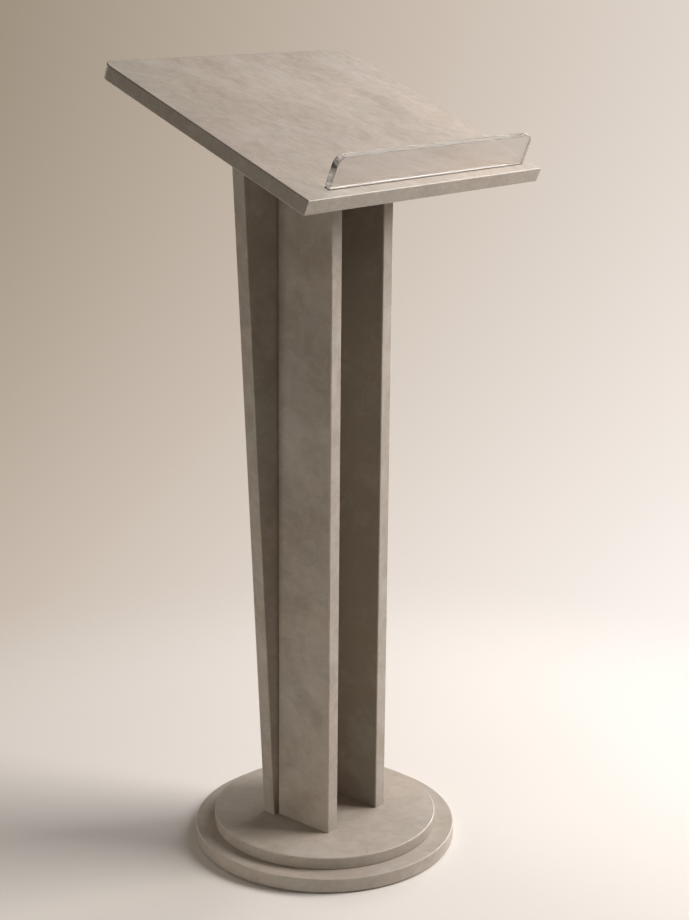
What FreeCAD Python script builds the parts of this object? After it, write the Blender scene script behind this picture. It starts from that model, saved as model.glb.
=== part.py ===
import FreeCAD, Part
import math
import os

# Fixed lectern of decor-faced board: two stacked round base discs, a column of two
# upright fins and a tapered facade, a sloping reading board and a clear paper ledge.
# The reader stands at -Y, the audience at +Y. The origin is on the floor under the
# middle of the base, and all sizes are in millimetres and degrees.

# Base
felt_thickness = 2.0
felt_margin = 8.0
lower_disc_diameter = 410.0
lower_disc_thickness = 22.0
upper_disc_diameter = 350.0
upper_disc_thickness = 19.0

# Column
fin_gap = 93.0
fin_thickness = 22.0
fin_depth = 105.0
fin_front_y = -66.0
facade_thickness = 22.0
facade_reveal = 8.5
facade_side_lean = 3.5
fin_back_arris = 2.4

# Reading board, measured at its lower front edge
top_width = 520.0
top_depth = 415.0
top_thickness = 22.0
top_tilt = 22.5
top_back_radius = 18.0
reading_edge_height = 1028.0
reading_edge_reach = 117.0

# Edge bands on every board edge that shows
band_thickness = 2.0
band_round = 1.8

# Clear paper ledge, bonded to the board's face with a strip of tape
ledge_length = 436.0
ledge_height = 48.0
ledge_thickness = 10.0
ledge_corner_radius = 14.0
ledge_arris = 0.6
ledge_setback = 17.0
ledge_shift = 16.0
bond_thickness = 1.0
bond_inset = 0.8

# Wooden dowels
dowel_diameter = 8.0
dowel_length = 35.0
dowel_short_end = 12.0
dowel_chamfer = 1.0
dowel_end_gap = 1.0
dowel_glue_gap = 0.05
fin_dowel_count = 4
fin_dowel_margin = 120.0
board_dowel_front_inset = 18.0
board_dowel_back_inset = 9.0

# Screws
screw_clearance = 0.05
screw_head_recess = 0.4
screw_tip_share = 0.8
drive_share = 0.45
disc_screw_count = 6
disc_screw_circle = 270.0
disc_screw_diameter = 4.5
disc_screw_head = 9.0
disc_screw_bite = 12.0
foot_screw_diameter = 7.0
foot_screw_head = 10.0
foot_screw_bite = 31.0
foot_screw_inset = 26.0
facade_screw_spacing = 60.0
bracket_screw_diameter = 3.5
bracket_screw_head = 7.0
bracket_screw_head_height = 2.4
bracket_screw_bite = 14.0
bracket_hole_clearance = 0.25

# Steel angle brackets: bent corners between fin and facade, and under the board
bend_inside = 1.0
corner_leg = 21.0
corner_thickness = 2.0
corner_width = 18.0
corner_hole_reach = 13.0
saddle_leg = 30.0
saddle_thickness = 2.5
saddle_length = 50.0
saddle_hole_reach = 18.0
saddle_hole_spacing = 30.0

# Places worked out from the sizes above
SIDES = {"left": -1, "right": 1}
Vector = FreeCAD.Vector
UP = Vector(0, 0, 1)
lower_disc_z = felt_thickness
upper_disc_z = lower_disc_z + lower_disc_thickness
column_foot_z = upper_disc_z + upper_disc_thickness
fin_inner_x = fin_gap / 2
fin_middle_x = fin_inner_x + fin_thickness / 2
fin_outer_x = fin_inner_x + fin_thickness
fin_board_front_y = fin_front_y + band_thickness
facade_front_y = fin_front_y + fin_depth
facade_middle_y = facade_front_y + facade_thickness / 2
facade_back_y = facade_front_y + facade_thickness
reading_edge_y = fin_front_y - reading_edge_reach
tilt = math.radians(top_tilt)
lean = math.radians(facade_side_lean)
dowel_long_end = dowel_length - dowel_short_end
board_place = FreeCAD.Placement(Vector(0, reading_edge_y, reading_edge_height),
                                FreeCAD.Rotation(Vector(1, 0, 0), top_tilt))


def underside_z(y):
    """Height of the reading board's underside above the floor at depth y."""
    return reading_edge_height + (y - reading_edge_y) * math.tan(tilt)


def slope_length(y):
    """Distance up the board's underside from its front edge to depth y."""
    return (y - reading_edge_y) / math.cos(tilt)


def extruded(points, vector):
    """Straight solid on a closed outline of corner points."""
    return Part.Face(Part.makePolygon(points + points[:1])).extrude(vector)


def edges_at(shape, test):
    """The edges of a shape whose ends both pass a test."""
    return [edge for edge in shape.Edges if all(test(v.Point) for v in edge.Vertexes)]


def near(a, b):
    """Whether two lengths are the same within a thousandth of a millimetre."""
    return abs(a - b) < 0.001


def less(shape, tools):
    """A shape with all the tools cut out of it."""
    return shape.cut(Part.makeCompound(tools))


def turned_to(shape, base, direction):
    """A shape made along +Z, set on a base point and turned to a direction."""
    moved = shape.copy()
    moved.Placement = FreeCAD.Placement(base, FreeCAD.Rotation(UP, direction))
    return moved


def on_board(shape):
    """A shape made flat in the board's own axes, tilted into place on the lectern."""
    moved = shape.copy()
    moved.Placement = board_place.multiply(shape.Placement)
    return moved


# Fasteners, each made along +Z from the surface it enters

def dowel():
    """Round wooden dowel with chamfered ends, its joint plane at Z 0."""
    radius = dowel_diameter / 2
    rod = Part.makeCylinder(radius, dowel_length, Vector(0, 0, -dowel_short_end))
    rims = [edge for edge in rod.Edges if edge.Closed]
    return rod.makeChamfer(dowel_chamfer, rims)


def dowel_hole():
    """Space for a dowel, with glue room round it and at both ends."""
    start = Vector(0, 0, -dowel_short_end - dowel_end_gap)
    length = dowel_length + 2 * dowel_end_gap
    return Part.makeCylinder(dowel_diameter / 2 + dowel_glue_gap, length, start)


def turned(profile):
    """Solid of revolution about Z from (radius, height) corner points."""
    points = [Vector(radius, 0, height) for radius, height in profile]
    face = Part.Face(Part.makePolygon(points + points[:1]))
    return face.revolve(Vector(0, 0, 0), UP, 360)


def hex_socket(across, depth):
    """Six-sided driver recess that opens at Z 0 and goes up."""
    corners = [Vector(across / 2, 0, 0)]
    for turn in range(60, 360, 60):
        angle = math.radians(turn)
        corners.append(Vector(math.cos(angle), math.sin(angle), 0) * (across / 2))
    return extruded(corners, UP * depth)


def countersunk_screw(diameter, head, length):
    """Flat-headed screw, head face at Z 0 and tip at Z length."""
    cone = (head - diameter) / 2
    tip = length - screw_tip_share * diameter
    profile = [(0, 0), (head / 2, 0), (diameter / 2, cone), (diameter / 2, tip), (0, length)]
    return turned(profile).cut(hex_socket(drive_share * head, cone))


def countersunk_hole(diameter, head, length):
    """Space for a countersunk screw that lies below the surface at Z 0."""
    radius = diameter / 2 + screw_clearance
    mouth = head / 2 + screw_clearance
    top = screw_head_recess + (head - diameter) / 2
    end = screw_head_recess + length + screw_clearance
    profile = [(0, 0), (mouth, 0), (mouth, screw_head_recess), (radius, top), (radius, end), (0, end)]
    return turned(profile)


def pan_head_screw(bracket_thickness):
    """Domed bracket screw, head seat at Z 0 and tip upwards."""
    radius = bracket_screw_diameter / 2
    length = bracket_thickness + bracket_screw_bite
    tip = length - screw_tip_share * bracket_screw_diameter
    rim = bracket_screw_head / 2
    height = bracket_screw_head_height
    head = [(0, -height), (rim / 2, -height), (rim, -height / 2), (rim, 0)]
    shank = [(radius, 0), (radius, tip), (0, length)]
    recess = hex_socket(drive_share * bracket_screw_head, height / 2)
    return turned(head + shank).cut(recess.translate(Vector(0, 0, -height)))


def pan_head_hole(bracket_thickness):
    """Space for a bracket screw's shank."""
    length = bracket_thickness + bracket_screw_bite + screw_clearance
    return Part.makeCylinder(bracket_screw_diameter / 2 + screw_clearance, length)


# Places of the joints: a list of (base point, direction) for each kind

def disc_screw_places():
    """Screws up through the lower disc into the upper one, evenly round a circle."""
    places = []
    for index in range(disc_screw_count):
        angle = 2 * math.pi * (index + 0.5) / disc_screw_count
        out = Vector(math.cos(angle), math.sin(angle), 0) * (disc_screw_circle / 2)
        places.append((out + UP * lower_disc_z, UP))
    return places


def foot_screw_places():
    """Screws up through the upper disc: two into each fin and two into the facade."""
    spots = []
    for side in SIDES.values():
        spots.append((side * fin_middle_x, fin_front_y + foot_screw_inset))
        spots.append((side * fin_middle_x, facade_front_y - foot_screw_inset))
        spots.append((side * facade_screw_spacing / 2, facade_middle_y))
    return [(Vector(x, y, upper_disc_z), UP) for x, y in spots]


def foot_dowel_places():
    """Dowels that locate the fins and the facade on the upper disc."""
    fin_middle_y = (fin_front_y + facade_front_y) / 2
    spots = [(side * fin_middle_x, fin_middle_y) for side in SIDES.values()]
    spots.append((0, facade_middle_y))
    return [(Vector(x, y, column_foot_z), UP) for x, y in spots]


def fin_dowel_heights():
    """Heights of the dowels between fin and facade, evenly spaced up the column."""
    low = column_foot_z + fin_dowel_margin
    high = underside_z(facade_front_y) - fin_dowel_margin
    step = (high - low) / (fin_dowel_count - 1)
    return [low + step * index for index in range(fin_dowel_count)]


def fin_dowel_places():
    """Dowels from the facade's front face into the back edges of the fins."""
    places = []
    for side in SIDES.values():
        for height in fin_dowel_heights():
            places.append((Vector(side * fin_middle_x, facade_front_y, height), Vector(0, -1, 0)))
    return places


def board_dowel_places():
    """Dowels from the board's underside square into the sloped tops of the fins."""
    down = board_place.Rotation.multVec(Vector(0, 0, -1))
    drift = (dowel_long_end + dowel_end_gap) * math.sin(tilt)
    front_y = fin_front_y + board_dowel_front_inset
    back_y = facade_front_y - drift - board_dowel_back_inset
    places = []
    for side in SIDES.values():
        for y in (front_y, back_y):
            places.append((Vector(side * fin_middle_x, y, underside_z(y)), down))
    return places


def corner_bracket_heights():
    """Heights of the corner brackets, midway between neighbouring dowels."""
    heights = fin_dowel_heights()
    return [(low + high) / 2 for low, high in zip(heights, heights[1:])]


def corner_screw_places(side):
    """Screws through one side's corner brackets, into the fin and into the facade."""
    seat = corner_thickness
    places = []
    for height in corner_bracket_heights():
        on_fin = Vector(side * (fin_inner_x - seat), facade_front_y - corner_hole_reach, height)
        on_facade = Vector(side * (fin_inner_x - corner_hole_reach), facade_front_y - seat, height)
        places.append((on_fin, Vector(side, 0, 0)))
        places.append((on_facade, Vector(0, 1, 0)))
    return places


def saddle_middle():
    """Distance up the board's underside to the middle of the saddle brackets."""
    return (slope_length(fin_front_y) + slope_length(facade_front_y)) / 2


def saddle_screw_places(side):
    """Screws through one saddle bracket, into the fin and into the board, in the board's axes."""
    seat = saddle_thickness
    places = []
    for shift in (-saddle_hole_spacing / 2, saddle_hole_spacing / 2):
        along = saddle_middle() + shift
        on_fin = Vector(side * (fin_inner_x - seat), along, -saddle_hole_reach)
        under_board = Vector(side * (fin_inner_x - saddle_hole_reach), along, -seat)
        places.append((on_fin, Vector(side, 0, 0)))
        places.append((under_board, UP))
    return places


def at_places(shape, places):
    """One copy of a shape at each place."""
    return [turned_to(shape, base, direction) for base, direction in places]


def recessed(places):
    """The same places moved in by the depth that countersunk heads lie below the surface."""
    return [(base + direction * screw_head_recess, direction) for base, direction in places]


def disc_screw_length():
    return lower_disc_thickness - screw_head_recess + disc_screw_bite


def foot_screw_length():
    return upper_disc_thickness - screw_head_recess + foot_screw_bite


# Holes that the joints need in the boards

def disc_screw_holes():
    hole = countersunk_hole(disc_screw_diameter, disc_screw_head, disc_screw_length())
    return at_places(hole, disc_screw_places())


def foot_holes():
    hole = countersunk_hole(foot_screw_diameter, foot_screw_head, foot_screw_length())
    return at_places(hole, foot_screw_places()) + at_places(dowel_hole(), foot_dowel_places())


def board_dowel_holes():
    return at_places(dowel_hole(), board_dowel_places())


def corner_screw_holes(side):
    return at_places(pan_head_hole(corner_thickness), corner_screw_places(side))


def saddle_screw_holes(side):
    holes = at_places(pan_head_hole(saddle_thickness), saddle_screw_places(side))
    return [on_board(hole) for hole in holes]


# Base

def felt_sheet():
    """Felt sheet under the base that hides the screw heads and spares the floor."""
    return Part.makeCylinder(lower_disc_diameter / 2 - felt_margin, felt_thickness)


def disc_board(diameter, thickness, z):
    """Round board without its edge band."""
    return Part.makeCylinder(diameter / 2 - band_thickness, thickness, Vector(0, 0, z))


def disc_band(diameter, thickness, z):
    """Edge band round a disc, with its two outer rims rounded."""
    whole = Part.makeCylinder(diameter / 2, thickness, Vector(0, 0, z))
    rims = [edge for edge in whole.Edges if edge.Closed]
    return whole.makeFillet(band_round, rims).cut(disc_board(diameter, thickness, z))


def lower_base_disc():
    board = disc_board(lower_disc_diameter, lower_disc_thickness, lower_disc_z)
    return less(board, disc_screw_holes())


def upper_base_disc():
    board = disc_board(upper_disc_diameter, upper_disc_thickness, upper_disc_z)
    return less(board, disc_screw_holes() + foot_holes())


# Column

def column_slab(x_range, y_range):
    """Upright block between the upper disc and the board's sloping underside."""
    left, right = x_range
    front, back = y_range
    outline = [Vector(left, front, column_foot_z), Vector(left, back, column_foot_z),
               Vector(left, back, underside_z(back)), Vector(left, front, underside_z(front))]
    return extruded(outline, Vector(right - left, 0, 0))


def fin_x_range(side):
    return sorted((side * fin_inner_x, side * fin_outer_x))


def fin(side):
    """Upright fin with eased back arrises, dowelled to the facade, the disc and the board."""
    board = column_slab(fin_x_range(side), (fin_board_front_y, facade_front_y))
    back = edges_at(board, lambda point: near(point.y, facade_front_y))
    upright = [edge for edge in back if near(edge.Vertexes[0].X, edge.Vertexes[1].X)]
    board = board.makeChamfer(fin_back_arris, upright)
    dowels = at_places(dowel_hole(), fin_dowel_places())
    holes = foot_holes() + dowels + board_dowel_holes()
    return less(board, holes + corner_screw_holes(side) + saddle_screw_holes(side))


def fin_band(side):
    """Edge band down a fin's front edge."""
    strip = column_slab(fin_x_range(side), (fin_front_y, fin_board_front_y))
    arrises = edges_at(strip, lambda point: near(point.y, fin_front_y))
    upright = [edge for edge in arrises if near(edge.Vertexes[0].X, edge.Vertexes[1].X)]
    return strip.makeFillet(band_round, upright)


def facade_half_width(z):
    """Half of the facade's finished width at height z."""
    return fin_outer_x + facade_reveal + (z - column_foot_z) * math.tan(lean)


def sloped_top():
    """Block under the reading board that cuts the facade's top to the slope."""
    reach = facade_half_width(underside_z(facade_back_y))
    return column_slab((-reach, reach), (facade_front_y, facade_back_y))


def facade_panel():
    """Tapered panel on the audience's side, without its edge bands."""
    top = underside_z(facade_back_y)
    side_band = band_thickness / math.cos(lean)
    foot = facade_half_width(column_foot_z) - side_band
    head = facade_half_width(top) - side_band
    outline = [Vector(-foot, facade_front_y, column_foot_z), Vector(foot, facade_front_y, column_foot_z),
               Vector(head, facade_front_y, top), Vector(-head, facade_front_y, top)]
    board = extruded(outline, Vector(0, facade_thickness, 0)).common(sloped_top())
    holes = foot_holes() + at_places(dowel_hole(), fin_dowel_places())
    for side in SIDES.values():
        holes += corner_screw_holes(side)
    return less(board, holes)


def facade_band(side):
    """Edge band up one leaning side of the facade."""
    top = underside_z(facade_back_y)
    side_band = band_thickness / math.cos(lean)
    corners = []
    for z, inset in ((column_foot_z, side_band), (column_foot_z, 0), (top, 0), (top, side_band)):
        corners.append(Vector(side * (facade_half_width(z) - inset), facade_front_y, z))
    strip = extruded(corners, Vector(0, facade_thickness, 0))
    arrises = edges_at(strip, lambda point: near(abs(point.x), facade_half_width(point.z)))
    sloping = [edge for edge in arrises if near(edge.Vertexes[0].Y, edge.Vertexes[1].Y)]
    return strip.makeFillet(band_round, sloping).common(sloped_top())


# Reading board, made flat with its lower front edge on X, then tilted

def top_slab(inset, front):
    """Flat slab of the board's outline, drawn in by an inset, from a front line back."""
    half = top_width / 2 - inset
    back = top_depth - inset
    radius = top_back_radius - inset
    bend = radius * math.sqrt(0.5)
    left_line = Part.LineSegment(Vector(-half, front, 0), Vector(-half, back - radius, 0))
    left_arc = Part.Arc(Vector(-half, back - radius, 0),
                        Vector(-half + radius - bend, back - radius + bend, 0),
                        Vector(-half + radius, back, 0))
    back_line = Part.LineSegment(Vector(-half + radius, back, 0), Vector(half - radius, back, 0))
    right_arc = Part.Arc(Vector(half - radius, back, 0),
                         Vector(half - radius + bend, back - radius + bend, 0),
                         Vector(half, back - radius, 0))
    right_line = Part.LineSegment(Vector(half, back - radius, 0), Vector(half, front, 0))
    front_line = Part.LineSegment(Vector(half, front, 0), Vector(-half, front, 0))
    curves = (left_line, left_arc, back_line, right_arc, right_line, front_line)
    outline = Part.Wire([curve.toShape() for curve in curves])
    return Part.Face(outline).extrude(UP * top_thickness)


def top_bands():
    """All edge bands of the board in one, with rounded arrises."""
    whole = top_slab(0, 0)
    lower_rim = edges_at(whole, lambda point: near(point.z, 0))
    upper_rim = edges_at(whole, lambda point: near(point.z, top_thickness))
    rounded = whole.makeFillet(band_round, lower_rim + upper_rim)
    return rounded.cut(top_slab(band_thickness, band_thickness))


def front_strip():
    """Space of the band across the board's front edge."""
    corner = Vector(-top_width / 2, 0, 0)
    return Part.makeBox(top_width, band_thickness, top_thickness, corner)


def reading_board():
    """Sloping board with the holes on its underside."""
    holes = board_dowel_holes()
    for side in SIDES.values():
        holes += saddle_screw_holes(side)
    return less(on_board(top_slab(band_thickness, band_thickness)), holes)


def paper_ledge():
    """Clear strip with rounded upper corners and eased arrises, standing on its tape."""
    foot = top_thickness + bond_thickness
    corner = Vector(ledge_shift - ledge_length / 2, ledge_setback, foot)
    strip = Part.makeBox(ledge_length, ledge_thickness, ledge_height - bond_thickness, corner)
    crest = top_thickness + ledge_height
    ends = edges_at(strip, lambda point: near(point.z, crest))
    across = [edge for edge in ends if near(edge.Vertexes[0].X, edge.Vertexes[1].X)]
    strip = strip.makeFillet(ledge_corner_radius, across)
    faces = [face for face in strip.Faces if near(abs(face.normalAt(0, 0).y), 1)]
    arrises = [edge for face in faces for edge in face.Edges if edge.BoundBox.ZMax > foot + ledge_arris]
    return on_board(strip.makeFillet(ledge_arris, arrises))


def ledge_bond_strip():
    """Double-sided tape under the ledge, a little narrower than the ledge's foot."""
    corner = Vector(bond_inset + ledge_shift - ledge_length / 2, ledge_setback + bond_inset, top_thickness)
    length = ledge_length - 2 * bond_inset
    return on_board(Part.makeBox(length, ledge_thickness - 2 * bond_inset, bond_thickness, corner))


# Brackets

def bent_angle(leg, thickness, width):
    """Angle bracket with legs along +X and +Y, outer faces on X 0 and Y 0, width along Z."""
    outline = [Vector(0, 0, 0), Vector(leg, 0, 0), Vector(leg, thickness, 0),
               Vector(thickness, thickness, 0), Vector(thickness, leg, 0), Vector(0, leg, 0)]
    angle = extruded(outline, UP * width)
    heel = edges_at(angle, lambda point: near(point.x, 0) and near(point.y, 0))
    angle = angle.makeFillet(bend_inside + thickness, heel)
    throat = edges_at(angle, lambda point: near(point.x, thickness) and near(point.y, thickness))
    return angle.makeFillet(bend_inside, throat)


def bracket_holes(places):
    """Clearance holes through a bracket at its screws' places."""
    radius = bracket_screw_diameter / 2 + bracket_hole_clearance
    reach = saddle_thickness + corner_thickness
    hole = Part.makeCylinder(radius, 2 * reach, Vector(0, 0, -reach))
    return at_places(hole, places)


def corner_brackets(side):
    """Angle brackets up the inner corner between one fin and the facade."""
    brackets = []
    for height in corner_bracket_heights():
        angle = bent_angle(corner_leg, corner_thickness, corner_width)
        if side > 0:
            angle = angle.mirror(Vector(0, 0, 0), Vector(1, 0, 0))
        angle = angle.mirror(Vector(0, 0, 0), Vector(0, 1, 0))
        place = Vector(side * fin_inner_x, facade_front_y, height - corner_width / 2)
        brackets.append(less(angle.translate(place), bracket_holes(corner_screw_places(side))))
    return Part.makeCompound(brackets)


def saddle_bracket(side):
    """Angle bracket that ties one fin to the underside of the board."""
    angle = bent_angle(saddle_leg, saddle_thickness, saddle_length)
    angle.rotate(Vector(0, 0, 0), Vector(1, 0, 0), -90)
    if side > 0:
        angle = angle.mirror(Vector(0, 0, 0), Vector(1, 0, 0))
    place = Vector(side * fin_inner_x, saddle_middle() - saddle_length / 2, 0)
    return on_board(less(angle.translate(place), bracket_holes(saddle_screw_places(side))))


# Fastener groups

def disc_screws():
    screw = countersunk_screw(disc_screw_diameter, disc_screw_head, disc_screw_length())
    return Part.makeCompound(at_places(screw, recessed(disc_screw_places())))


def foot_screws():
    screw = countersunk_screw(foot_screw_diameter, foot_screw_head, foot_screw_length())
    return Part.makeCompound(at_places(screw, recessed(foot_screw_places())))


def corner_bracket_screws():
    screws = []
    for side in SIDES.values():
        screws += at_places(pan_head_screw(corner_thickness), corner_screw_places(side))
    return Part.makeCompound(screws)


def saddle_bracket_screws():
    screws = []
    for side in SIDES.values():
        flat = at_places(pan_head_screw(saddle_thickness), saddle_screw_places(side))
        screws += [on_board(screw) for screw in flat]
    return Part.makeCompound(screws)


def dowels(places):
    return Part.makeCompound(at_places(dowel(), places))


def all_pieces():
    """Every piece of the lectern by its node's name."""
    bands = top_bands()
    pieces = {
        "felt_floor_sheet": felt_sheet(),
        "lower_base_disc": lower_base_disc(),
        "lower_base_edge_band": disc_band(lower_disc_diameter, lower_disc_thickness, lower_disc_z),
        "upper_base_disc": upper_base_disc(),
        "upper_base_edge_band": disc_band(upper_disc_diameter, upper_disc_thickness, upper_disc_z),
        "facade_panel": facade_panel(),
        "reading_board": reading_board(),
        "reading_board_front_band": on_board(bands.common(front_strip())),
        "reading_board_rim_band": on_board(bands.cut(front_strip())),
        "paper_ledge": paper_ledge(),
        "ledge_bond_strip": ledge_bond_strip(),
        "base_disc_screws": disc_screws(),
        "column_foot_screws": foot_screws(),
        "column_foot_dowels": dowels(foot_dowel_places()),
        "fin_back_dowels": dowels(fin_dowel_places()),
        "board_dowels": dowels(board_dowel_places()),
        "corner_bracket_screws": corner_bracket_screws(),
        "saddle_bracket_screws": saddle_bracket_screws(),
    }
    for name, side in SIDES.items():
        pieces[f"{name}_fin"] = fin(side)
        pieces[f"{name}_fin_edge_band"] = fin_band(side)
        pieces[f"facade_{name}_edge_band"] = facade_band(side)
        pieces[f"{name}_corner_brackets"] = corner_brackets(side)
        pieces[f"{name}_saddle_bracket"] = saddle_bracket(side)
    return pieces


def main():
    os.makedirs("parts", exist_ok=True)
    for name, shape in all_pieces().items():
        shape.exportStep(f"parts/{name}.step")


main()
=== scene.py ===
import math
from collections import namedtuple

import bmesh
import bpy
from bpy.props import FloatProperty, FloatVectorProperty, PointerProperty
from mathutils import Matrix, Vector


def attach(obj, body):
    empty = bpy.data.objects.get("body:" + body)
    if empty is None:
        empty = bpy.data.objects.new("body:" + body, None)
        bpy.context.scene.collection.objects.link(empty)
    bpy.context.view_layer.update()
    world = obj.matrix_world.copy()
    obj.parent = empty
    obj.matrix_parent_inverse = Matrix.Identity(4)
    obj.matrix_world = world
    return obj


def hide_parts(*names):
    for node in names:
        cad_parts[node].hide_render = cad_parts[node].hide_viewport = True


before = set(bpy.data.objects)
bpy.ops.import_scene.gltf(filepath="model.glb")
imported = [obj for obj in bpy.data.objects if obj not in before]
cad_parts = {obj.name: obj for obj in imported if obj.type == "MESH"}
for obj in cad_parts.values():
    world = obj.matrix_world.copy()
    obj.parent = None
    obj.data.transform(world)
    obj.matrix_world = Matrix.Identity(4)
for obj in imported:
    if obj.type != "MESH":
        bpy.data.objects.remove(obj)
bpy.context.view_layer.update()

bl_info = {
    "name": "Concrete-print lectern",
    "version": (1, 0, 0),
    "blender": (4, 5, 0),
    "location": "3D View > Sidebar > Lectern",
    "description": "Finishes the boards, edging, ledge and hardware of a lectern and sets its stage",
    "category": "Object",
}

MM = 0.001
BODY = "root"


def linear(hex_colour):
    """Linear red, green and blue of an sRGB colour written as #RRGGBB."""
    parts = [int(hex_colour[i:i + 2], 16) / 255 for i in (1, 3, 5)]
    return tuple(c / 12.92 if c <= 0.04045 else ((c + 0.055) / 1.055) ** 2.4 for c in parts)


def opaque(colour):
    """A colour with full alpha, as node sockets take it."""
    return (*colour, 1.0)


def board_tilt():
    """Slope of the reading board, from the normal of its largest face."""
    face = max(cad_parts["reading_board"].data.polygons, key=lambda polygon: polygon.area)
    normal = face.normal if face.normal.z > 0 else -face.normal
    return math.atan2(-normal.y, normal.z)


TILT = board_tilt()


# Settings

class LecternDecorSettings(bpy.types.PropertyGroup):
    body_colour: FloatVectorProperty(
        name="Body", description="Main tone of the concrete print", subtype="COLOR",
        size=3, min=0, max=1, default=linear("#ADA397"))
    shade_colour: FloatVectorProperty(
        name="Shade", description="Dark clouds of the concrete print", subtype="COLOR",
        size=3, min=0, max=1, default=linear("#9C9285"))
    bloom_colour: FloatVectorProperty(
        name="Bloom", description="Pale trowelled patches of the print", subtype="COLOR",
        size=3, min=0, max=1, default=linear("#BBB2A8"))
    cloud_length: FloatProperty(
        name="Cloud length", description="Length of a cloud along the trowel's stroke",
        unit="LENGTH", min=10 * MM, default=130 * MM)
    cloud_width: FloatProperty(
        name="Cloud width", description="Width of a cloud across the trowel's stroke",
        unit="LENGTH", min=5 * MM, default=110 * MM)
    mottle_length: FloatProperty(
        name="Mottle length", description="Length of a smaller patch along the stroke",
        unit="LENGTH", min=2 * MM, default=30 * MM)
    mottle_width: FloatProperty(
        name="Mottle width", description="Width of a smaller patch across the stroke",
        unit="LENGTH", min=2 * MM, default=26 * MM)
    stroke_length: FloatProperty(
        name="Stroke length", description="Length of one trowel mark",
        unit="LENGTH", min=5 * MM, default=16 * MM)
    stroke_width: FloatProperty(
        name="Stroke width", description="Width of one trowel mark",
        unit="LENGTH", min=1 * MM, default=5 * MM)
    grit_size: FloatProperty(
        name="Grit", description="Size of the printed sand grains",
        unit="LENGTH", min=0.2 * MM, default=1.6 * MM)


class LecternLedgeSettings(bpy.types.PropertyGroup):
    corner_radius: FloatProperty(
        name="Corner radius", description="Round of the ledge's two upper corners",
        unit="LENGTH", min=1 * MM, default=14 * MM)
    arris_radius: FloatProperty(
        name="Arris", description="Flame-polished round along every edge",
        unit="LENGTH", min=0.1 * MM, default=0.6 * MM)
    tint: FloatVectorProperty(
        name="Tint", description="Faint colour of the clear sheet", subtype="COLOR",
        size=3, min=0, max=1, default=linear("#E5E1DE"))
    # Painted shade: the ledge's end faces are tinted this greyer colour for the darker long view
    # through the sheet
    end_painted_shade: FloatVectorProperty(
        name="End tint", description="Greyer colour seen along the sheet through its ends",
        subtype="COLOR", size=3, min=0, max=1, default=linear("#7C7A77"))
    adhesive_film: FloatProperty(
        name="Adhesive film", description="Thickness of the adhesive that wets the ledge's foot",
        unit="LENGTH", min=0, default=0.1 * MM)
    # Painted shade: the ledge's rounded edges are tinted this dark colour for the dark view their
    # bend would give
    arris_painted_shade: FloatVectorProperty(
        name="Arris colour", description="Dark line along the sheet's rounded edges",
        subtype="COLOR", size=3, min=0, max=1, default=linear("#3A3835"))
    adhesive_colour: FloatVectorProperty(
        name="Adhesive", description="Adhesive seen through the ledge's foot", subtype="COLOR",
        size=3, min=0, max=1, default=linear("#949089"))
    tape_colour: FloatVectorProperty(
        name="Tape", description="Double-sided tape under the ledge", subtype="COLOR",
        size=3, min=0, max=1, default=linear("#3A352F"))


class LecternHardwareSettings(bpy.types.PropertyGroup):
    zinc_colour: FloatVectorProperty(
        name="Zinc", description="Plating on screws and brackets", subtype="COLOR",
        size=3, min=0, max=1, default=linear("#C6C8C7"))
    beech_colour: FloatVectorProperty(
        name="Beech", description="Turned dowels", subtype="COLOR",
        size=3, min=0, max=1, default=linear("#C8A47C"))
    felt_colour: FloatVectorProperty(
        name="Felt", description="Sheet under the base", subtype="COLOR",
        size=3, min=0, max=1, default=linear("#4A443E"))


class LecternStageSettings(bpy.types.PropertyGroup):
    floor_colour: FloatVectorProperty(
        name="Floor", description="Pale seamless floor", subtype="COLOR",
        size=3, min=0, max=1, default=linear("#EEE9E3"))
    floor_radius: FloatProperty(
        name="Floor radius", description="Half the width of the floor",
        unit="LENGTH", min=0.5, default=1.3)
    fade_start: FloatProperty(
        name="Fade start", description="Where the floor starts to fade into the backdrop",
        unit="LENGTH", min=0.1, default=0.65)
    fade_end: FloatProperty(
        name="Fade end", description="Where the floor has faded into the backdrop",
        unit="LENGTH", min=0.2, default=1.28)
    backdrop_dark: FloatVectorProperty(
        name="Backdrop dark", description="Backdrop on the side away from the lamp",
        subtype="COLOR", size=3, min=0, max=1, default=linear("#9F9180"))
    backdrop_middle: FloatVectorProperty(
        name="Backdrop middle", description="Backdrop between its dark and light sides",
        subtype="COLOR", size=3, min=0, max=1, default=linear("#C6B8AA"))
    backdrop_light: FloatVectorProperty(
        name="Backdrop light", description="Backdrop on the lamp's side and near the floor",
        subtype="COLOR", size=3, min=0, max=1, default=linear("#FFF7F1"))
    ambient_colour: FloatVectorProperty(
        name="Ambient", description="Warm light that the room sends back", subtype="COLOR",
        size=3, min=0, max=1, default=linear("#F0E8DF"))
    ambient_strength: FloatProperty(
        name="Ambient strength", description="Level of the room's light", min=0, default=0.05)
    lamp_level: FloatProperty(
        name="Lamp level", description="Share of the lamps' own power", min=0, default=1.0)
    camera_place: FloatVectorProperty(
        name="Camera", description="Where the camera stands", subtype="XYZ", unit="LENGTH",
        size=3, default=(-1.98272, -1.71712, 1.34986))
    camera_heading: FloatProperty(
        name="Heading", description="Turn about the vertical from looking along +Y",
        subtype="ANGLE", default=math.radians(-49.678))
    camera_pitch: FloatProperty(
        name="Pitch", description="Tilt of the view above the horizon",
        subtype="ANGLE", default=math.radians(-15.629))
    camera_roll: FloatProperty(
        name="Roll", description="Turn about the line of sight",
        subtype="ANGLE", default=math.radians(0.529))
    camera_lens: FloatProperty(
        name="Lens", description="Focal length on a 36 mm upright frame, in millimetres",
        min=10, default=70.54)


# Materials

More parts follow.
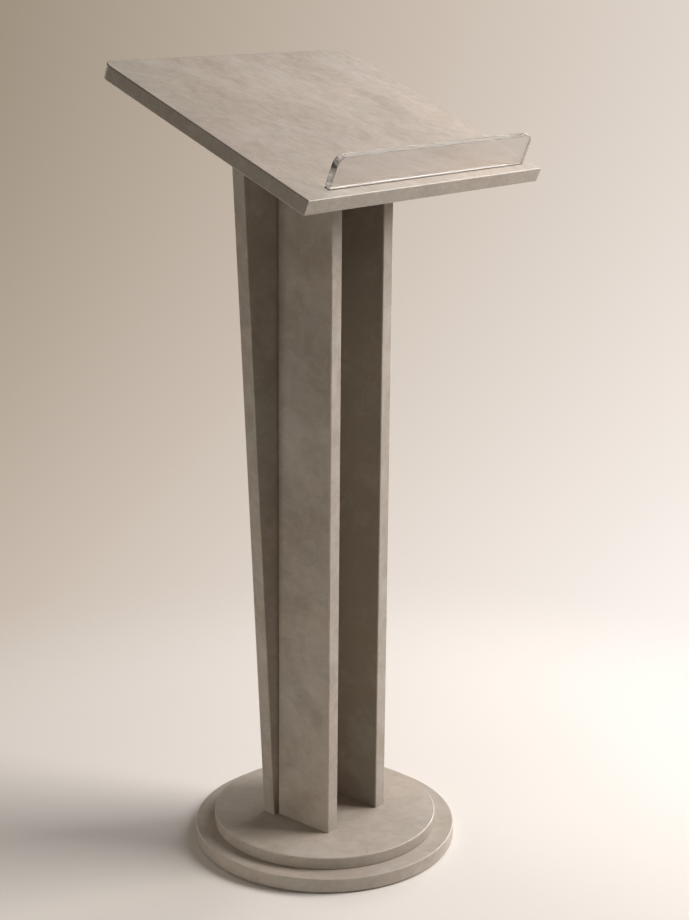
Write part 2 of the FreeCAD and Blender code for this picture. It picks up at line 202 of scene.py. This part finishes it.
# Levels between which the print runs from its shade to its bloom, and the shares of its layers
PRINT_LOW, PRINT_HIGH = 0.34, 0.66
MOTTLE_SHARE = 0.42
GRIT_SHARE = 0.12
HUE_DRIFT = 0.05
COOL_CAST = (0.98, 1.0, 1.01)
WARM_CAST = (1.0, 0.99, 0.975)
PRINT_RELIEF = 0.1 * MM
SHEEN_SPREAD = 0.06
MELAMINE_IOR = 1.5

# What the clear sheet lets through to lamps, and the share of the view that isn't bent
ACRYLIC_IOR = 1.49
LAMP_PASSES = (0.85, 0.85, 0.84)
UNBENT_SHARE = 0.03


def add(tree, kind, inputs=None, stops=None, **settings):
    """Add a node, set its properties, fill or link its inputs and place a ramp's stops."""
    node = tree.nodes.new(kind)
    for name, value in settings.items():
        setattr(node, name, value)
    for socket, value in (inputs or {}).items():
        if isinstance(value, bpy.types.NodeSocket):
            tree.links.new(value, node.inputs[socket])
        else:
            node.inputs[socket].default_value = value
    for index, (position, colour) in enumerate(stops or ()):
        elements = node.color_ramp.elements
        stop = elements[index] if index < 2 else elements.new(position)
        stop.position = position
        stop.color = colour
    return node


def blank_material(name):
    """New material with an empty node tree."""
    material = bpy.data.materials.new(name)
    material.use_nodes = True
    material.node_tree.nodes.clear()
    return material, material.node_tree


def finish_nodes(node, material):
    """Give a CAD node this material in all its slots."""
    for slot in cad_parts[node].material_slots:
        slot.material = material


def stretched(size_along, size_across):
    """Mapping scale of a pattern that is longer along X than across it."""
    return (1 / size_along, 1 / size_across, 1 / size_across)


def concrete_print(settings, name, turn, place, tone, coarse, shares, roughness):
    """Concrete-print paper pressed under melamine: cloudy warm grey with trowel strokes,
    a dull sheen and a barely felt texture. The turn lays the strokes along X, the place
    shifts the cut on the sheet, tone lightens or darkens it, coarse scales the print and
    shares sets how strong its clouds and strokes are."""
    material, tree = blank_material(name)
    where = add(tree, "ShaderNodeTexCoord")
    sheet = add(tree, "ShaderNodeMapping", {
        "Vector": where.outputs["Object"], "Rotation": turn, "Location": place})
    cloud_map = add(tree, "ShaderNodeMapping", {
        "Vector": sheet.outputs[0],
        "Scale": stretched(settings.cloud_length * coarse, settings.cloud_width * coarse)})
    clouds = add(tree, "ShaderNodeTexNoise", {
        "Vector": cloud_map.outputs[0], "Scale": 1.0, "Detail": 3.0,
        "Roughness": 0.5, "Distortion": 0.8})
    mottle_map = add(tree, "ShaderNodeMapping", {
        "Vector": sheet.outputs[0],
        "Scale": stretched(settings.mottle_length * coarse, settings.mottle_width * coarse)})
    mottle = add(tree, "ShaderNodeTexNoise", {
        "Vector": mottle_map.outputs[0], "Scale": 1.0, "Detail": 5.0,
        "Roughness": 0.68, "Distortion": 0.9})
    stroke_map = add(tree, "ShaderNodeMapping", {
        "Vector": sheet.outputs[0],
        "Scale": stretched(settings.stroke_length * coarse, settings.stroke_width * coarse)})
    strokes = add(tree, "ShaderNodeTexNoise", {
        "Vector": stroke_map.outputs[0], "Scale": 1.0, "Detail": 3.0,
        "Roughness": 0.55, "Distortion": 0.6})
    grit = add(tree, "ShaderNodeTexNoise", {
        "Vector": sheet.outputs[0], "Scale": 1 / settings.grit_size, "Detail": 2.0})
    hue = add(tree, "ShaderNodeTexNoise", {
        "Vector": cloud_map.outputs[0], "Scale": 0.8, "Detail": 3.0, "Roughness": 0.55, "W": 3.0},
        noise_dimensions="4D")
    cloud_share, stroke_share = shares
    layers = ((clouds, cloud_share), (mottle, MOTTLE_SHARE),
              (strokes, stroke_share), (grit, GRIT_SHARE))
    level = 0.5 + tone - sum(0.5 * share for layer, share in layers)
    for layer, share in layers:
        summed = add(tree, "ShaderNodeMath", {
            0: layer.outputs["Fac"], 1: share, 2: level}, operation="MULTIPLY_ADD")
        level = summed.outputs[0]
    print_colour = add(tree, "ShaderNodeValToRGB", {"Fac": level}, stops=[
        (PRINT_LOW, opaque(settings.shade_colour)),
        (PRINT_HIGH, opaque(settings.bloom_colour)),
        (0.5, opaque(settings.body_colour))])
    cast = add(tree, "ShaderNodeValToRGB", {"Fac": hue.outputs["Fac"]}, stops=[
        (0.38, opaque(COOL_CAST)), (0.62, opaque(WARM_CAST))])
    colour = add(tree, "ShaderNodeMix", {
        0: 1.0, 6: print_colour.outputs[0], 7: cast.outputs[0]},
        data_type="RGBA", blend_type="MULTIPLY")
    drift = add(tree, "ShaderNodeMix", {
        0: HUE_DRIFT, 6: colour.outputs[2], 7: hue.outputs["Color"]},
        data_type="RGBA", blend_type="SOFT_LIGHT")
    dull = add(tree, "ShaderNodeMapRange", {
        "Value": level, "From Min": PRINT_LOW, "From Max": PRINT_HIGH,
        "To Min": roughness + SHEEN_SPREAD, "To Max": roughness - SHEEN_SPREAD})
    relief = add(tree, "ShaderNodeMath", {
        0: strokes.outputs["Fac"], 1: grit.outputs["Fac"]}, operation="ADD")
    bump = add(tree, "ShaderNodeBump", {
        "Height": relief.outputs[0], "Strength": 0.2, "Distance": PRINT_RELIEF})
    shader = add(tree, "ShaderNodeBsdfPrincipled", {
        "Base Color": drift.outputs[2], "Roughness": dull.outputs[0],
        "Normal": bump.outputs[0], "IOR": MELAMINE_IOR})
    add(tree, "ShaderNodeOutputMaterial", {"Surface": shader.outputs[0]})
    return material


def lamp_lit(tree, shader, straight_share):
    """Finish a clear sheet's tree: lamp light passes it, and a share of the view goes straight."""
    passing = add(tree, "ShaderNodeBsdfTransparent", {"Color": opaque(LAMP_PASSES)})
    path = add(tree, "ShaderNodeLightPath")
    straight = add(tree, "ShaderNodeMath", {
        0: path.outputs["Is Shadow Ray"], 1: straight_share}, operation="MAXIMUM")
    lit = add(tree, "ShaderNodeMixShader", {
        0: straight.outputs[0], 1: shader.outputs[0], 2: passing.outputs[0]})
    add(tree, "ShaderNodeOutputMaterial", {"Surface": lit.outputs[0]})


def cast_acrylic(settings):
    """Cast acrylic sheet, polished all round: clear with a faint grey tint and sharp
    reflections, and lamp light goes through it to the board behind. Its end faces get painted
    shade, a greyer tint picked by which way a face points, for the long view through the sheet."""
    material, tree = blank_material("cast_acrylic_polished")
    where = add(tree, "ShaderNodeTexCoord")
    wear = add(tree, "ShaderNodeTexNoise", {
        "Vector": where.outputs["Object"], "Scale": 1 / (60 * MM), "Detail": 1.0})
    handled = add(tree, "ShaderNodeMapRange", {
        "Value": wear.outputs["Fac"], "To Min": 0.0, "To Max": 0.01})
    side = add(tree, "ShaderNodeNewGeometry")
    # Painted shade mask: 1 on the faces that point along the sheet, its two ends
    facing = add(tree, "ShaderNodeVectorMath", {
        0: side.outputs["True Normal"], 1: (1.0, 0.0, 0.0)}, operation="DOT_PRODUCT")
    turned = add(tree, "ShaderNodeMath", {0: facing.outputs["Value"]}, operation="ABSOLUTE")
    end_shade_mask = add(tree, "ShaderNodeMapRange", {
        "Value": turned.outputs[0], "From Min": 0.2, "From Max": 0.8})
    tone = add(tree, "ShaderNodeMix", {
        0: end_shade_mask.outputs[0], 6: opaque(settings.tint), 7: opaque(settings.end_painted_shade)},
        data_type="RGBA")
    shader = add(tree, "ShaderNodeBsdfPrincipled", {
        "Base Color": tone.outputs[2], "Roughness": handled.outputs[0], "IOR": ACRYLIC_IOR,
        "Transmission Weight": 1.0})
    lamp_lit(tree, shader, UNBENT_SHARE)
    return material


def flame_polished_arris(settings):
    """Rounded edge of the cast sheet, melted smooth by a flame. Its glass is tinted near-black with
    a faint ripple, painted shade for the dark surroundings its bent view would show, so it reads as
    a thin dark line."""
    material, tree = blank_material("cast_acrylic_arris_painted_shade")
    where = add(tree, "ShaderNodeTexCoord")
    ripple = add(tree, "ShaderNodeTexNoise", {
        "Vector": where.outputs["Object"], "Scale": 1 / (12 * MM), "Detail": 1.0})
    # Painted shade: the arris tint, with a paler ripple of it
    pale = [1.5 * channel for channel in settings.arris_painted_shade]
    tone = add(tree, "ShaderNodeValToRGB", {"Fac": ripple.outputs["Fac"]}, stops=[
        (0.35, opaque(settings.arris_painted_shade)), (0.65, opaque(pale))])
    shader = add(tree, "ShaderNodeBsdfPrincipled", {
        "Base Color": tone.outputs[0], "Roughness": 0.04, "IOR": ACRYLIC_IOR,
        "Transmission Weight": 1.0})
    lamp_lit(tree, shader, 0.0)
    return material


def wetted_adhesive(settings):
    """Grey adhesive that wets the acrylic: a smooth face with fine trapped bubbles."""
    material, tree = blank_material("acrylic_adhesive_wetted")
    where = add(tree, "ShaderNodeTexCoord")
    bubbles = add(tree, "ShaderNodeTexVoronoi", {
        "Vector": where.outputs["Object"], "Scale": 1 / (1.5 * MM)})
    dark = [0.85 * channel for channel in settings.adhesive_colour]
    tone = add(tree, "ShaderNodeValToRGB", {"Fac": bubbles.outputs["Distance"]}, stops=[
        (0.05, opaque(dark)), (0.3, opaque(settings.adhesive_colour))])
    shader = add(tree, "ShaderNodeBsdfPrincipled", {
        "Base Color": tone.outputs[0], "Roughness": 0.5})
    add(tree, "ShaderNodeOutputMaterial", {"Surface": shader.outputs[0]})
    return material


def foam_tape(settings):
    """Closed-cell acrylic foam tape: dull dark grey, pitted by its small cells."""
    material, tree = blank_material("acrylic_foam_tape_cut")
    where = add(tree, "ShaderNodeTexCoord")
    cells = add(tree, "ShaderNodeTexVoronoi", {
        "Vector": where.outputs["Object"], "Scale": 1 / (0.3 * MM)})
    dark = [0.6 * channel for channel in settings.tape_colour]
    tone = add(tree, "ShaderNodeValToRGB", {"Fac": cells.outputs["Distance"]}, stops=[
        (0.1, opaque(dark)), (0.6, opaque(settings.tape_colour))])
    bump = add(tree, "ShaderNodeBump", {
        "Height": cells.outputs["Distance"], "Strength": 0.5, "Distance": 0.1 * MM})
    shader = add(tree, "ShaderNodeBsdfPrincipled", {
        "Base Color": tone.outputs[0], "Roughness": 0.8, "Normal": bump.outputs[0]})
    add(tree, "ShaderNodeOutputMaterial", {"Surface": shader.outputs[0]})
    return material


def zinc_plate(settings, name, grain):
    """Zinc-plated steel: cool grey metal with faint crystal patches and a soft gloss."""
    material, tree = blank_material(name)
    where = add(tree, "ShaderNodeTexCoord")
    crystals = add(tree, "ShaderNodeTexVoronoi", {
        "Vector": where.outputs["Object"], "Scale": 1 / grain})
    smear = add(tree, "ShaderNodeTexNoise", {
        "Vector": where.outputs["Object"], "Scale": 1 / (5 * grain), "Detail": 4.0})
    patch = add(tree, "ShaderNodeMix", {
        0: smear.outputs["Fac"], 2: 0.35, 3: crystals.outputs["Color"]}, data_type="FLOAT")
    dark = [0.78 * channel for channel in settings.zinc_colour]
    tone = add(tree, "ShaderNodeValToRGB", {"Fac": patch.outputs[0]}, stops=[
        (0.15, opaque(dark)), (0.8, opaque(settings.zinc_colour))])
    dull = add(tree, "ShaderNodeMapRange", {
        "Value": smear.outputs["Fac"], "To Min": 0.28, "To Max": 0.46})
    shader = add(tree, "ShaderNodeBsdfPrincipled", {
        "Base Color": tone.outputs[0], "Metallic": 1.0, "Roughness": dull.outputs[0]})
    add(tree, "ShaderNodeOutputMaterial", {"Surface": shader.outputs[0]})
    return material


def turned_beech(settings):
    """Turned beech: pale tan wood with short darker flecks along the grain."""
    material, tree = blank_material("beech_turned")
    where = add(tree, "ShaderNodeTexCoord")
    stretch = add(tree, "ShaderNodeMapping", {
        "Vector": where.outputs["Object"], "Scale": (1 / (0.8 * MM), 1 / (0.8 * MM), 1 / (6 * MM))})
    flecks = add(tree, "ShaderNodeTexNoise", {
        "Vector": stretch.outputs[0], "Scale": 1.0, "Detail": 3.0})
    dark = [0.62 * channel for channel in settings.beech_colour]
    tone = add(tree, "ShaderNodeValToRGB", {"Fac": flecks.outputs["Fac"]}, stops=[
        (0.33, opaque(dark)), (0.5, opaque(settings.beech_colour))])
    bump = add(tree, "ShaderNodeBump", {
        "Height": flecks.outputs["Fac"], "Strength": 0.3, "Distance": 0.1 * MM})
    shader = add(tree, "ShaderNodeBsdfPrincipled", {
        "Base Color": tone.outputs[0], "Roughness": 0.6, "Normal": bump.outputs[0]})
    add(tree, "ShaderNodeOutputMaterial", {"Surface": shader.outputs[0]})
    return material


def pressed_felt(settings):
    """Pressed wool felt: dark, without gloss, a tangle of short fibres."""
    material, tree = blank_material("wool_felt_pressed")
    where = add(tree, "ShaderNodeTexCoord")
    fibres = add(tree, "ShaderNodeTexNoise", {
        "Vector": where.outputs["Object"], "Scale": 1 / (0.8 * MM), "Detail": 5.0,
        "Roughness": 0.7, "Distortion": 1.5})
    dark = [0.55 * channel for channel in settings.felt_colour]
    tone = add(tree, "ShaderNodeValToRGB", {"Fac": fibres.outputs["Fac"]}, stops=[
        (0.3, opaque(dark)), (0.7, opaque(settings.felt_colour))])
    bump = add(tree, "ShaderNodeBump", {
        "Height": fibres.outputs["Fac"], "Strength": 0.7, "Distance": 0.5 * MM})
    shader = add(tree, "ShaderNodeBsdfPrincipled", {
        "Base Color": tone.outputs[0], "Roughness": 0.95, "Normal": bump.outputs[0],
        "Sheen Weight": 0.3, "Sheen Roughness": 0.5})
    add(tree, "ShaderNodeOutputMaterial", {"Surface": shader.outputs[0]})
    return material


# How each piece is cut from the printed sheet: the turn that lays the strokes along X,
# in degrees, the place of the cut in metres, and how much lighter than the sheet it is

FLAT_TILT = -math.degrees(TILT)
BASE_CUTS = {
    "lower_base_disc": ((0, 0, 40), (0.4, 1.7, 0.2), 0.04),
    "upper_base_disc": ((0, 0, 48), (1.3, 0.2, 0.9), 0.04),
    "lower_base_edge_band": ((0, 0, 40), (0.9, 2.7, 1.2), 0.04),
    "upper_base_edge_band": ((0, 0, 48), (2.3, 0.8, 0.3), 0.04),
}
COLUMN_CUTS = {
    "left_fin": ((0, 30, -90), (0.2, 0.5, 2.2), -0.03),
    # The right fin and the facade are cut darker: partly their own tone, partly painted shade that
    # deepens the gap between the fins and the facade beside the left fin
    "right_fin": ((0, 30, -90), (3.1, 0.4, 0.6), -0.12),
    "facade_panel": ((0, -25, 0), (0.7, 2.5, 1.1), -0.1),
    "left_fin_edge_band": ((0, 90, 0), (5.1, 0.3, 1.4), 0.05),
    "right_fin_edge_band": ((0, 90, 0), (2.6, 1.3, 3.4), 0.05),
    "facade_left_edge_band": ((0, 90, 0), (4.4, 0.9, 1.7), -0.03),
    "facade_right_edge_band": ((0, 90, 0), (1.8, 2.2, 0.4), -0.03),
}
BOARD_CUTS = {
    "reading_board": ((FLAT_TILT, 0, 56), (0.6, 0.3, 1.5), 0.0),
    "reading_board_front_band": ((FLAT_TILT, 0, 0), (2.1, 1.4, 0.7), -0.06),
    "reading_board_rim_band": ((FLAT_TILT, 0, 56), (3.3, 0.6, 2.4), 0.0),
}
BOARD_ROUGHNESS = 0.64
BAND_ROUGHNESS = 0.36
BAND_COARSE = 0.45

# Shares of clouds and of trowel strokes in the print of each group
BASE_SHARES = (0.3, 0.1)
COLUMN_SHARES = (0.55, 0.1)
BOARD_SHARES = (0.36, 0.3)


def finish_decor(settings, cuts, shares):
    """Give each board and band of a group its own cut of the concrete print."""
    for node, (turn, place, tone) in cuts.items():
        banded = node.endswith("band")
        name = ("abs_edging_printed." if banded else "melamine_concrete_print.") + node
        angles = [math.radians(angle) for angle in turn]
        material = concrete_print(settings, name, angles, place, tone,
                                  BAND_COARSE if banded else 1.0, shares,
                                  BAND_ROUGHNESS if banded else BOARD_ROUGHNESS)
        finish_nodes(node, material)


# Pieces

def ledge_outline(low, high, radius, steps=24):
    """Corner points of the ledge's face: square foot and two rounded upper corners."""
    points = [(low.x, low.z), (high.x, low.z)]
    for middle, start in ((high.x - radius, 0), (low.x + radius, math.pi / 2)):
        for step in range(steps + 1):
            angle = start + step / steps * math.pi / 2
            points.append((middle + radius * math.cos(angle),
                           high.z - radius + radius * math.sin(angle)))
    return points


CLEAR, FOOT, ARRIS = range(3)


def ledge_strip(settings):
    """The clear ledge as one strip, in the board's own axes, tilted into place."""
    flat = Matrix.Rotation(-TILT, 3, "X")
    corners = [flat @ vertex.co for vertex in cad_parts["paper_ledge"].data.vertices]
    low = Vector([min(corner[axis] for corner in corners) for axis in range(3)])
    high = Vector([max(corner[axis] for corner in corners) for axis in range(3)])
    low.z += settings.adhesive_film
    strip = bmesh.new()
    outline = ledge_outline(low, high, settings.corner_radius)
    face = strip.faces.new([strip.verts.new((x, low.y, z)) for x, z in outline])
    grown = bmesh.ops.extrude_face_region(strip, geom=[face])
    moved = [item for item in grown["geom"] if isinstance(item, bmesh.types.BMVert)]
    bmesh.ops.translate(strip, verts=moved, vec=(0, high.y - low.y, 0))
    bmesh.ops.recalc_face_normals(strip, faces=strip.faces)
    for side in strip.faces:
        side.material_index = FOOT if side.normal.z < -0.5 else CLEAR
    bmesh.ops.rotate(strip, verts=strip.verts, cent=(0, 0, 0), matrix=flat.inverted())
    mesh = bpy.data.meshes.new("paper_ledge_strip")
    strip.to_mesh(mesh)
    strip.free()
    mesh.shade_smooth()
    ledge = bpy.data.objects.new("paper_ledge_strip", mesh)
    bpy.context.scene.collection.objects.link(ledge)
    polish = ledge.modifiers.new("flame_polish", "BEVEL")
    polish.width = settings.arris_radius
    polish.segments = 4
    polish.limit_method = "ANGLE"
    polish.angle_limit = math.radians(40)
    polish.harden_normals = True
    polish.material = ARRIS
    return ledge


class LECTERN_OT_base_discs(bpy.types.Operator):
    """Finish the two round base discs and their edge bands"""
    bl_idname = "lectern.base_discs"
    bl_label = "Base discs"

    def execute(self, context):
        finish_decor(context.scene.lectern_decor, BASE_CUTS, BASE_SHARES)
        return {"FINISHED"}


class LECTERN_OT_column(bpy.types.Operator):
    """Finish the two fins, the facade and their edge bands"""
    bl_idname = "lectern.column"
    bl_label = "Column"

    def execute(self, context):
        finish_decor(context.scene.lectern_decor, COLUMN_CUTS, COLUMN_SHARES)
        return {"FINISHED"}


class LECTERN_OT_reading_board(bpy.types.Operator):
    """Finish the sloping reading board and its edge bands"""
    bl_idname = "lectern.reading_board"
    bl_label = "Reading board"

    def execute(self, context):
        finish_decor(context.scene.lectern_decor, BOARD_CUTS, BOARD_SHARES)
        return {"FINISHED"}


class LECTERN_OT_paper_ledge(bpy.types.Operator):
    """Build the clear paper ledge with polished edges"""
    bl_idname = "lectern.paper_ledge"
    bl_label = "Paper ledge"

    def execute(self, context):
        settings = context.scene.lectern_ledge
        ledge = ledge_strip(settings)
        ledge.data.materials.append(cast_acrylic(settings))
        ledge.data.materials.append(wetted_adhesive(settings))
        ledge.data.materials.append(flame_polished_arris(settings))
        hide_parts("paper_ledge")
        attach(ledge, BODY)
        return {"FINISHED"}


class LECTERN_OT_ledge_tape(bpy.types.Operator):
    """Finish the tape under the paper ledge"""
    bl_idname = "lectern.ledge_tape"
    bl_label = "Ledge tape"

    def execute(self, context):
        finish_nodes("ledge_bond_strip", foam_tape(context.scene.lectern_ledge))
        return {"FINISHED"}


class LECTERN_OT_screws(bpy.types.Operator):
    """Finish the screws"""
    bl_idname = "lectern.screws"
    bl_label = "Screws"

    def execute(self, context):
        settings = context.scene.lectern_hardware
        material = zinc_plate(settings, "zinc_plated_steel_rolled_thread", 0.8 * MM)
        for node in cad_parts:
            if node.endswith("screws"):
                finish_nodes(node, material)
        return {"FINISHED"}


class LECTERN_OT_brackets(bpy.types.Operator):
    """Finish the bent steel brackets"""
    bl_idname = "lectern.brackets"
    bl_label = "Brackets"

    def execute(self, context):
        settings = context.scene.lectern_hardware
        material = zinc_plate(settings, "zinc_plated_steel_bent_sheet", 2.5 * MM)
        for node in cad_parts:
            if node.endswith(("bracket", "brackets")):
                finish_nodes(node, material)
        return {"FINISHED"}


class LECTERN_OT_dowels(bpy.types.Operator):
    """Finish the wooden dowels"""
    bl_idname = "lectern.dowels"
    bl_label = "Dowels"

    def execute(self, context):
        material = turned_beech(context.scene.lectern_hardware)
        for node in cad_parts:
            if node.endswith("dowels"):
                finish_nodes(node, material)
        return {"FINISHED"}


class LECTERN_OT_felt_sheet(bpy.types.Operator):
    """Finish the felt sheet under the base"""
    bl_idname = "lectern.felt_sheet"
    bl_label = "Felt sheet"

    def execute(self, context):
        finish_nodes("felt_floor_sheet", pressed_felt(context.scene.lectern_hardware))
        return {"FINISHED"}


# Stage

# The backdrop's light side: half the width of its rise across the view, and how far it rises
SIDE_RISE = 0.185
SIDE_LEVEL = 0.6
# Its glow below the horizon: how far it rises, and the curve that it follows
FLOOR_GLOW = 2.05
FLOOR_CURVE = 1.6
# Level of the backdrop's middle colour
MIDDLE_LEVEL = 0.33


def seen_ray(tree):
    """Output that is 1 for rays that look at the stage, straight, mirrored or through glass."""
    ray = add(tree, "ShaderNodeLightPath")
    mirrored = add(tree, "ShaderNodeMath", {
        0: ray.outputs["Is Camera Ray"], 1: ray.outputs["Is Glossy Ray"]}, operation="MAXIMUM")
    seen = add(tree, "ShaderNodeMath", {
        0: mirrored.outputs[0], 1: ray.outputs["Is Transmission Ray"]}, operation="MAXIMUM")
    return seen.outputs[0]


def floor_paper(settings):
    """Matt backdrop paper that seems to fade out where the backdrop takes over,
    while it still sends light back to the lectern."""
    material, tree = blank_material("backdrop_paper_matt")
    where = add(tree, "ShaderNodeTexCoord")
    reach = add(tree, "ShaderNodeVectorMath", {0: where.outputs["Object"]}, operation="LENGTH")
    shown = add(tree, "ShaderNodeMapRange", {
        "Value": reach.outputs["Value"], "From Min": settings.fade_start,
        "From Max": settings.fade_end, "To Min": 0.0, "To Max": 1.0},
        interpolation_type="SMOOTHSTEP")
    faded = add(tree, "ShaderNodeMath", {
        0: shown.outputs[0], 1: seen_ray(tree)}, operation="MULTIPLY")
    paper = add(tree, "ShaderNodeBsdfDiffuse", {"Color": opaque(settings.floor_colour)})
    clear = add(tree, "ShaderNodeBsdfTransparent")
    mixed = add(tree, "ShaderNodeMixShader", {
        0: faded.outputs[0], 1: paper.outputs[0], 2: clear.outputs[0]})
    add(tree, "ShaderNodeOutputMaterial", {"Surface": mixed.outputs[0]})
    return material


def floor_disc(settings):
    """Wide round floor."""
    disc = bmesh.new()
    bmesh.ops.create_circle(disc, cap_ends=True, segments=96, radius=settings.floor_radius)
    mesh = bpy.data.meshes.new("floor")
    disc.to_mesh(mesh)
    disc.free()
    mesh.materials.append(floor_paper(settings))
    floor = bpy.data.objects.new("floor", mesh)
    bpy.context.scene.collection.objects.link(floor)


def studio_world(settings):
    """Backdrop that brightens towards the lamp's side and the floor, and a plain room light."""
    world = bpy.data.worlds.new("studio")
    bpy.context.scene.world = world
    world.use_nodes = True
    tree = world.node_tree
    tree.nodes.clear()
    where = add(tree, "ShaderNodeTexCoord")
    side = Vector((math.cos(settings.camera_heading), math.sin(settings.camera_heading), 0))
    across = add(tree, "ShaderNodeVectorMath", {
        0: where.outputs["Generated"], 1: side}, operation="DOT_PRODUCT")
    height = add(tree, "ShaderNodeSeparateXYZ", {0: where.outputs["Generated"]})
    from_side = add(tree, "ShaderNodeMapRange", {
        "Value": across.outputs["Value"], "From Min": -SIDE_RISE, "From Max": SIDE_RISE,
        "To Min": 0.0, "To Max": SIDE_LEVEL})
    below = add(tree, "ShaderNodeMath", {
        0: 0.0, 1: height.outputs["Z"]}, operation="SUBTRACT", use_clamp=True)
    curved = add(tree, "ShaderNodeMath", {
        0: below.outputs[0], 1: FLOOR_CURVE}, operation="POWER")
    level = add(tree, "ShaderNodeMath", {
        0: curved.outputs[0], 1: FLOOR_GLOW, 2: from_side.outputs[0]},
        operation="MULTIPLY_ADD", use_clamp=True)
    shade = add(tree, "ShaderNodeValToRGB", {"Fac": level.outputs[0]}, stops=[
        (0.0, opaque(settings.backdrop_dark)),
        (1.0, opaque(settings.backdrop_light)),
        (MIDDLE_LEVEL, opaque(settings.backdrop_middle))])
    seen = add(tree, "ShaderNodeBackground", {"Color": shade.outputs[0], "Strength": 1.0})
    room = add(tree, "ShaderNodeBackground", {
        "Color": opaque(settings.ambient_colour), "Strength": settings.ambient_strength})
    mixed = add(tree, "ShaderNodeMixShader", {
        0: seen_ray(tree), 1: room.outputs[0], 2: seen.outputs[0]})
    add(tree, "ShaderNodeOutputWorld", {"Surface": mixed.outputs[0]})


# Soft studio lamps, each turned to a height on the column's axis. Power is in watts, angles
# are in degrees and lengths in metres; the azimuth runs from the reader towards +X.
Lamp = namedtuple("Lamp", "power colour side azimuth elevation distance height")
LAMPS = {
    "front_key": Lamp(97.0, "#FFFAF7", 1.4, 44, 31, 2.8, 0.75),
    "side_key": Lamp(9.7, "#FAF8FF", 0.8, 76, 26, 1.4, 1.1),
    "low_side": Lamp(28.0, "#FCF9F7", 1.4, 98, 9, 2.6, 0.5),
    "left_fill": Lamp(4.3, "#FFF8EF", 0.6, -98, 0, 1.45, 0.31),
    "back_fill": Lamp(4.2, "#FFF1DE", 0.9, -174, 6, 1.7, 0.75),
}


def soft_lamp(name, lamp, level):
    """Soft square lamp at its place round the lectern."""
    light = bpy.data.lights.new(name, "AREA")
    light.energy = lamp.power * level
    light.color = linear(lamp.colour)
    light.size = lamp.side
    azimuth, elevation = math.radians(lamp.azimuth), math.radians(lamp.elevation)
    outward = Vector((math.sin(azimuth) * math.cos(elevation),
                      -math.cos(azimuth) * math.cos(elevation), math.sin(elevation)))
    shown = bpy.data.objects.new(name, light)
    shown.location = outward * lamp.distance + Vector((0, 0, lamp.height))
    shown.rotation_euler = outward.to_track_quat("Z", "Y").to_euler()
    bpy.context.scene.collection.objects.link(shown)


def standing_camera(settings):
    """Camera at the photograph's place and angle."""
    lens = bpy.data.cameras.new("camera")
    lens.sensor_fit = "AUTO"
    lens.sensor_width = 36
    lens.lens = settings.camera_lens
    camera = bpy.data.objects.new("camera", lens)
    turn = Matrix.Rotation(settings.camera_heading, 4, "Z")
    turn @= Matrix.Rotation(math.pi / 2 + settings.camera_pitch, 4, "X")
    turn @= Matrix.Rotation(settings.camera_roll, 4, "Z")
    camera.matrix_world = Matrix.Translation(settings.camera_place) @ turn
    bpy.context.scene.collection.objects.link(camera)
    bpy.context.scene.camera = camera


class LECTERN_OT_stage(bpy.types.Operator):
    """Set the floor, the backdrop, the lamps and the camera"""
    bl_idname = "lectern.stage"
    bl_label = "Stage"

    def execute(self, context):
        settings = context.scene.lectern_stage
        floor_disc(settings)
        studio_world(settings)
        for name, lamp in LAMPS.items():
            soft_lamp(name, lamp, settings.lamp_level)
        standing_camera(settings)
        context.scene.view_settings.view_transform = "Standard"
        return {"FINISHED"}


OPERATORS = (
    LECTERN_OT_base_discs, LECTERN_OT_column, LECTERN_OT_reading_board, LECTERN_OT_paper_ledge,
    LECTERN_OT_ledge_tape, LECTERN_OT_screws, LECTERN_OT_brackets, LECTERN_OT_dowels,
    LECTERN_OT_felt_sheet, LECTERN_OT_stage)


class LECTERN_PT_panel(bpy.types.Panel):
    """Lists the lectern's pieces and its stage"""
    bl_idname = "LECTERN_PT_panel"
    bl_label = "Lectern"
    bl_space_type = "VIEW_3D"
    bl_region_type = "UI"
    bl_category = "Lectern"

    def draw(self, context):
        for operator in OPERATORS:
            self.layout.operator(operator.bl_idname)
        for name in SETTINGS:
            group = getattr(context.scene, name)
            box = self.layout.box()
            for setting in group.__annotations__:
                box.prop(group, setting)


SETTINGS = {
    "lectern_decor": LecternDecorSettings,
    "lectern_ledge": LecternLedgeSettings,
    "lectern_hardware": LecternHardwareSettings,
    "lectern_stage": LecternStageSettings,
}


def register():
    for name, group in SETTINGS.items():
        bpy.utils.register_class(group)
        setattr(bpy.types.Scene, name, PointerProperty(type=group))
    for operator in OPERATORS:
        bpy.utils.register_class(operator)
    bpy.utils.register_class(LECTERN_PT_panel)


def unregister():
    bpy.utils.unregister_class(LECTERN_PT_panel)
    for operator in reversed(OPERATORS):
        bpy.utils.unregister_class(operator)
    for name, group in SETTINGS.items():
        delattr(bpy.types.Scene, name)
        bpy.utils.unregister_class(group)


def main():
    register()
    bpy.ops.lectern.base_discs()
    bpy.ops.lectern.column()
    bpy.ops.lectern.reading_board()
    bpy.ops.lectern.paper_ledge()
    bpy.ops.lectern.ledge_tape()
    bpy.ops.lectern.screws()
    bpy.ops.lectern.brackets()
    bpy.ops.lectern.dowels()
    bpy.ops.lectern.felt_sheet()
    bpy.ops.lectern.stage()


if __name__ == "__main__":
    main()
